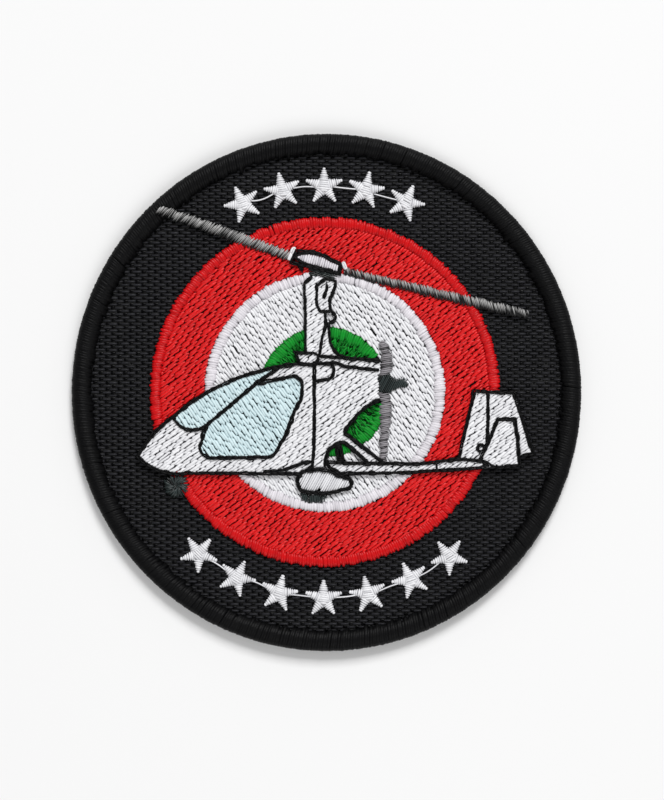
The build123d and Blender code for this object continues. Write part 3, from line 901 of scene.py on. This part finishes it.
def make_stars():
    """Satin stars: each arm is sewn across. A thin thread runs on from star to star."""
    for row in ("stars_top", "stars_bottom"):
        yarns = Yarns()
        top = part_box(row)[1].z
        places = star_places(row)
        for centre, tip in places:
            for arm in range(STAR_ARMS):
                star_arm(yarns, centre, tip, arm, top)
        star_links(yarns, np.array(sorted((centre for centre, tip in places), key=lambda place: place[0])))
        yarns.piece(row.replace("_", "_satin_"), WHITE, "white_thread", [row])


def star_places(row):
    """The middle and the first tip of each star of a row, from its solids' corners."""
    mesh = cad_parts[row].data
    co = np.array([v.co for v in mesh.vertices], float)
    grid = 0.01 * MM
    crowns = co[co[:, 2] > co[:, 2].max() - grid][:, :2]
    peaks = np.unique(np.round(crowns / grid), axis=0) * grid
    places = []
    for peak in peaks:
        gap = np.hypot(*(co[:, :2] - peak).T)
        near = gap < STAR_ROOM
        far = co[near][gap[near] > gap[near].max() - 2 * grid]
        places.append((peak, far[0, :2]))
    return places


def star_arm(yarns, centre, tip, arm, top):
    """One arm: a kite from the star's middle to its tip, with threads across it.

    The first arm's threads go on over the pentagon in the middle, and the others lie under them.
    """
    reach = np.linalg.norm(tip - centre)
    u = ways(math.atan2(*(tip - centre)[::-1]) + arm * 2 * math.pi / STAR_ARMS)
    v = left_of(u)
    inner = STAR_INNER * reach
    knee, spread = inner * ways(math.pi / STAR_ARMS)
    back, widest = STAR_BACK * inner, STAR_WIDEST * inner
    starts, ends = [], []
    first = -0.90 * inner if arm == 0 else 0.80 * knee
    for r in np.arange(first, reach, SATIN_PITCH * 0.94):
        half = np.interp(r, [-inner, -back, knee, reach], [0, widest, spread, 0])
        half = half if arm == 0 else min(half, spread)
        half += 0.05 * MM + rng.uniform(0, 0.09 * MM)
        starts.append(centre + u * (r - 0.10 * half) - v * half)
        ends.append(centre + u * (r + 0.10 * half) + v * half)
    foot = GROUND_TOP + 0.10 * MM
    top = top - 0.12 * MM * (arm > 0)
    arch_threads(yarns, starts, ends, foot, top, 0.56 * SATIN_PITCH, contrast=0.5)


def star_links(yarns, middles):
    """The thread that a machine leaves between the stars of a row."""
    starts, ends = middles[:-1], middles[1:]
    way = ends - starts
    starts, ends = starts + LINK_GAP * way, ends - LINK_GAP * way
    starts = starts + rng.normal(0, LINK_SPREAD, starts.shape)
    t = np.linspace(0, 1, 9)[None, :]
    swell = np.sin(t * math.pi)
    flat = between(starts, ends, t)
    flat[..., 1] += rng.normal(0, LINK_SAG, (len(starts), 1)) * swell
    height = GROUND_TOP + LINK_FOOT + LINK_SWELL * swell
    ones = np.ones(flat.shape[:-1])
    yarns.add(lifted(flat, height), LINK_HALF_WIDTH * ones, LINK_RISE * ones)


def on_border(points):
    """How far the border lifts the blade: its surface's height over a level BLADE_SEAT above the cloth."""
    x, y = points[..., 0], points[..., 1]
    share = np.hypot(x / HALF_WIDTH, y / HALF_HEIGHT)
    inward = (1 - share) * np.hypot(x, y) / np.maximum(share, TINY)
    half = BORDER_WIDTH / 2
    across = np.clip((half - inward) / half, -1, 1)
    surface = BORDER_HEIGHT / 2 * (1 + np.sqrt(1 - across ** 2))
    return np.where(inward < BORDER_WIDTH, np.maximum(surface - GROUND_TOP - BLADE_SEAT, 0), 0)


def make_body():
    """The body's fill, with one loose stitch at its nose."""
    yarns = Yarns()
    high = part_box("body")[1].z
    fill_stitch(yarns, node_region("body"), FILL_ANGLE, high)
    loose_threads(yarns, NOSE_STITCH, high - NOSE_DROP, high, NOSE_HALF_WIDTH)
    yarns.piece("body_fill", WHITE, "white_thread", ["body"])


def make_tail():
    """The tail's boom, strut, fins and rudder, and the small wedge that FIN_WEDGE gives."""
    yarns = Yarns()
    for node in TAIL_NODES:
        fill_stitch(yarns, node_region(node), FILL_ANGLE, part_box(node)[1].z)
    wedge_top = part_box("fin_far")[1].z - WEDGE_DROP
    fill_stitch(yarns, picture_region(FIN_WEDGE), FILL_ANGLE, wedge_top)
    yarns.piece("tail_fill", WHITE, "white_thread", TAIL_NODES)


def left_blade():
    """The left rotor blade: one band of satin, its tip sewn up over the border's inner side, with painted
    shade on its lower side.
    """
    satin_piece(
        "left_blade_satin", ["rotor_blade_left"], GREY, "grey_thread", 50, BLADE_DROP,
        picture_region(LEFT_BLADE), pitch=BLADE_PITCH, ragged=0.32 * MM, sway=0.03 * MM,
        dark_start=2.6, contrast=1.5, narrow=(0.14 * MM, 0.14 * MM), lift=on_border,
    )


def right_blade():
    """The right rotor blade, with painted shade towards its lower end."""
    satin_piece(
        "right_blade_satin", ["rotor_blade_right"], GREY, "grey_thread", 106, BLADE_DROP,
        pitch=BLADE_PITCH, ragged=0.26 * MM, sway=0.02 * MM,
        dark_start=3.4, contrast=1.7, narrow=(0.10 * MM, 0.10 * MM),
    )


def propeller():
    """The propeller's two blades."""
    satin_piece(
        "propeller_satin", ["propeller_blade_upper", "propeller_blade_lower"], PURPLE_GREY, "grey_thread",
        8, pitch=0.28 * MM, ragged=0.36 * MM, sway=0.03 * MM, contrast=1.5, narrow=(-0.12 * MM, 0.14 * MM),
    )


def spinner():
    """The dark cap in the propeller's middle."""
    satin_piece(
        "spinner_satin", ["propeller_spinner"], DARK, "dark_grey_thread", 62,
        pitch=0.26 * MM, ragged=0.30 * MM, contrast=1.6,
    )


def main_wheel():
    """The main wheel."""
    satin_piece(
        "main_wheel_satin", ["main_wheel"], DARK, "dark_grey_thread", 82,
        pitch=0.26 * MM, ragged=0.32 * MM, contrast=1.6,
    )


def hub_bar():
    """The white bar of the rotor hub, lifted a little."""
    satin_piece(
        "hub_satin", ["hub_bar"], WHITE_EDGE, "white_thread", 74,
        ragged=0.20 * MM, contrast=0.6, narrow=(-0.14 * MM, -0.14 * MM), lift=lambda flat: HUB_LIFT,
    )


def wheel_fairing():
    """The main wheel's fairing, with a notch in its lower edge."""
    low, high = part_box("wheel_fairing")
    notch_x = low.x + 0.36 * (high.x - low.x)
    notch_depth, notch_half_width = 1.5 * MM, 0.36 * MM
    satin_piece(
        "fairing_satin", ["wheel_fairing"], WHITE, "white_thread", 62,
        pitch=0.33 * MM, contrast=0.5, notch=(notch_x, notch_depth, notch_half_width),
    )


def hub_block():
    """The rotor hub's dark block."""
    satin_piece(
        "hub_block_satin", ["hub_block"], DARK, "dark_grey_thread", -18, pitch=0.28 * MM, contrast=1.6
    )


def hub_caps():
    """The hub's small white caps, in running stitch."""
    yarns = Yarns()
    run_stitch(yarns, node_region("hub_caps"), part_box("hub_caps")[1].z, (CAP_INSET,))
    yarns.piece("hub_cap_threads", WHITE, "white_thread", ["hub_caps"])


def nose_wheel():
    """A rosette: threads from the wheel's rim to its middle, all round, in two layers."""
    low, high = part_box("nose_wheel")
    centre = np.array([(low.x + high.x) / 2, (low.y + high.y) / 2])
    radius = (high.x - low.x) / 2
    turn_aside, depth, half_width = 0.6, 0.5 * MM, 0.15 * MM
    yarns = Yarns()
    for count, drop, core in ((30, 0.16 * MM, 0.0), (36, 0.0, 0.22)):
        turns = np.arange(count) / count * 2 * math.pi + rng.normal(0, 0.05, count)
        inner = core + rng.uniform(-0.12, 0.12, (count, 1))
        starts = centre + ways(turns + turn_aside) * inner * radius
        ends = centre + ways(turns) * rng.uniform(0.84, 1.08, (count, 1)) * radius
        top = high.z - drop
        arch_threads(yarns, starts, ends, top - depth, top, half_width, contrast=3.0)
    yarns.piece("nose_wheel_satin", DARK, "dark_grey_thread", ["nose_wheel"])


def make_picture():
    """The gyrocopter's coloured areas, one after the other."""
    make_body()
    fill_piece("cowl_fill", COWL_NODES, WHITE, "white_thread")
    make_tail()
    fill_piece("window_fill", ["windscreen", "side_window"], PALE, "pale_blue_thread", CROSS_ANGLE)
    left_blade()
    right_blade()
    propeller()
    spinner()
    main_wheel()
    hub_bar()
    wheel_fairing()
    hub_block()
    hub_caps()
    nose_wheel()


def make_outlines():
    """The black lines. Broad ones have strands in their middle too."""
    for node in sorted(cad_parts):
        if node.startswith("outline_"):
            yarns = Yarns()
            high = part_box(node)[1].z
            strands = BROAD_STRANDS if node in ("outline_hub", "outline_strut") else (RUN_INSET,)
            run_stitch(yarns, node_region(node), high, strands)
            if node == "outline_hub":
                loose_threads(yarns, HUB_STRAPS, high - STRAP_FOOT, high - STRAP_TOP)
            if node == "outline_boom":
                loose_threads(yarns, BOOM_TICK, high - RUN_DROP, high)
            yarns.piece(node.replace("outline", "line"), BLACK, "black_thread", [node])


def make_stage():
    """A plain pale floor, just below the patch."""
    n = Nodes("floor", 0.9)
    pale = n.colour(n.mix(n.noise(4.0), linear(232, 232, 232), linear(235, 235, 235)))
    bpy.ops.mesh.primitive_plane_add(size=FLOOR_SIZE, location=(0, 0, -0.02 * MM))
    floor = bpy.context.object
    floor.name = "floor"
    floor.data.materials.append(pale)


def make_light():
    """Soft light from the top of the picture, a little from the right."""
    world = bpy.data.worlds.new("world")
    bpy.context.scene.world = world
    world.use_nodes = True
    background = world.node_tree.nodes["Background"]
    background.inputs["Color"].default_value = (1, 1, 1, 1)
    background.inputs["Strength"].default_value = WORLD_STRENGTH
    for name, place, size, power in (
        ("key", (0.36, 1.68, 1.54), 0.77, 47.0),
        ("fill", (0.3, -0.9, 1.0), 0.8, 6.0),
    ):
        lamp = bpy.data.lights.new(name, "AREA")
        lamp.energy = power
        lamp.size = size
        holder = bpy.data.objects.new(name, lamp)
        holder.location = place
        bpy.context.scene.collection.objects.link(holder)
        holder.rotation_euler = (-holder.location).to_track_quat("-Z", "Y").to_euler()


def make_camera():
    """Straight down on the patch, framed as the photograph frames it."""
    camera = bpy.data.cameras.new("camera")
    camera.lens = CAMERA_LENS
    camera.sensor_width = SENSOR_WIDTH
    camera.sensor_fit = "AUTO"
    holder = bpy.data.objects.new("camera", camera)
    bpy.context.scene.collection.objects.link(holder)
    distance = PHOTO_HEIGHT * PIXEL * CAMERA_LENS / SENSOR_WIDTH
    x = (PHOTO_WIDTH / 2 - PATCH_MIDDLE_X) * PIXEL
    y = (PATCH_MIDDLE_Y - PHOTO_HEIGHT / 2) * PIXEL
    holder.location = (x, y, distance + GROUND_TOP)
    bpy.context.scene.camera = holder


bpy.context.scene.view_settings.view_transform = "Standard"
make_camera()
make_sheets()
make_border()
make_roundel()
make_picture()
make_stars()
make_outlines()
make_stage()
make_light()
